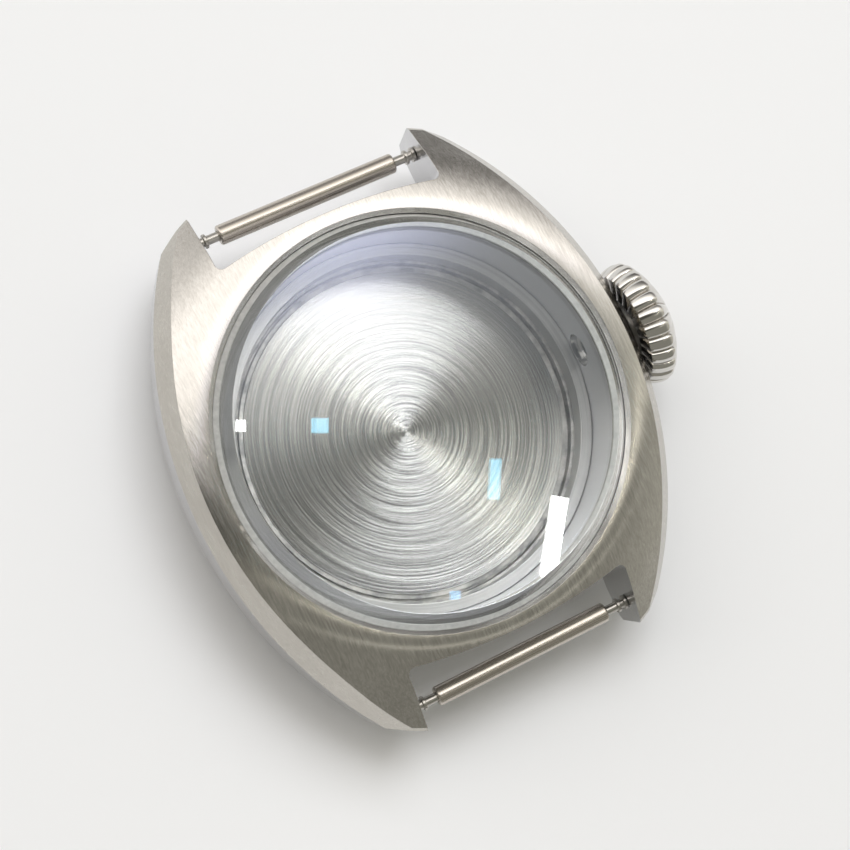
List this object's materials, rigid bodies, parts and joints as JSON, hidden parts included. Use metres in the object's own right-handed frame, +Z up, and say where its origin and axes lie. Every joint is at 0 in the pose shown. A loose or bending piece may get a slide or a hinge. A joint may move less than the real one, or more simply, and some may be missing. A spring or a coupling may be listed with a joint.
{
  "type": "watch case",
  "caption": "Empty steel watch case with a flat bevelled crystal, fluted onion crown, screw-down back, movement ring and sprung strap bars between its lugs.",
  "frame": {"origin": "centre of the outer face of the case back", "axes": "+Z up through the crystal, +Y towards 12 o'clock, +X towards 3 o'clock, where the crown is"},
  "size_m": [0.0395, 0.0408, 0.0117],
  "materials": {
    "case_steel": "top brushed from 12 to 6, bevels satin along the sides, rim chamfer polished",
    "crystal_glass": "clear, polished, flat with a bevelled edge",
    "gasket_nylon": "pale grey nylon",
    "ring_steel": "turned",
    "back_steel": "inside turned in fine circles, outside satin",
    "gasket_rubber": "black rubber",
    "tube_steel": "turned",
    "core_steel": "turned",
    "crown_steel": "polished",
    "bar_steel": "drawn tube, lightly polished",
    "spring_steel": "drawn wire",
    "pin_steel": "turned"
  },
  "bodies": {
    "case": {"mid_case": "case_steel", "crystal": "crystal_glass", "crystal_gasket": "gasket_nylon", "movement_ring": "ring_steel", "crown_tube": "tube_steel", "stem_gasket": "gasket_rubber"},
    "back_lift": {"case_back_gasket": "gasket_rubber"},
    "back": {"case_back": "back_steel"},
    "crown_slide": {"crown_gasket": "gasket_rubber", "crown_washer": "tube_steel"},
    "crown": {"crown_cap": "crown_steel", "crown_core": "core_steel"},
    "bar_12": {"bar_12_tube": "bar_steel", "bar_12_spring": "spring_steel"},
    "pin_12_left": {"bar_12_pin_left": "pin_steel"},
    "pin_12_right": {"bar_12_pin_right": "pin_steel"},
    "bar_6": {"bar_6_tube": "bar_steel", "bar_6_spring": "spring_steel"},
    "pin_6_left": {"bar_6_pin_left": "pin_steel"},
    "pin_6_right": {"bar_6_pin_right": "pin_steel"}
  },
  "joints": [
    {"name": "back_travel", "type": "slide", "parent": "case", "child": "back_lift", "axis": [0, 0, -1], "range_m": [0, 0.00125]},
    {"name": "back_unscrew", "type": "hinge", "parent": "back_lift", "child": "back", "pos_m": [0, 0, 0.001], "axis": [0, 0, 1], "range_deg": [0, 900.1]},
    {"name": "crown_pull", "type": "slide", "parent": "case", "child": "crown_slide", "axis": [1, 0, 0], "range_m": [0, 0.0009]},
    {"name": "crown_turn", "type": "hinge", "parent": "crown_slide", "child": "crown", "pos_m": [0.02, 0, 0.0056], "axis": [1, 0, 0], "continuous": true},
    {"name": "bar_12_turn", "type": "hinge", "parent": "case", "child": "bar_12", "pos_m": [0, 0.0186, 0.006], "axis": [1, 0, 0], "continuous": true},
    {"name": "pin_12_left_slide", "type": "slide", "parent": "bar_12", "child": "pin_12_left", "axis": [1, 0, 0], "range_m": [0, 0.0009], "stiffness_N_per_m": 800, "springref_m": -0.0008, "deforming": ["bar_12_spring"]},
    {"name": "pin_12_right_slide", "type": "slide", "parent": "bar_12", "child": "pin_12_right", "axis": [-1, 0, 0], "range_m": [0, 0.0009], "stiffness_N_per_m": 800, "springref_m": -0.0008, "deforming": ["bar_12_spring"]},
    {"name": "bar_6_turn", "type": "hinge", "parent": "case", "child": "bar_6", "pos_m": [0, -0.0186, 0.006], "axis": [1, 0, 0], "continuous": true},
    {"name": "pin_6_left_slide", "type": "slide", "parent": "bar_6", "child": "pin_6_left", "axis": [1, 0, 0], "range_m": [0, 0.0009], "stiffness_N_per_m": 800, "springref_m": -0.0008, "deforming": ["bar_6_spring"]},
    {"name": "pin_6_right_slide", "type": "slide", "parent": "bar_6", "child": "pin_6_right", "axis": [-1, 0, 0], "range_m": [0, 0.0009], "stiffness_N_per_m": 800, "springref_m": -0.0008, "deforming": ["bar_6_spring"]}
  ],
  "couplings": [
    {"joint": "back_unscrew", "follows": "back_travel", "rad_per_m": 12566}
  ]
}
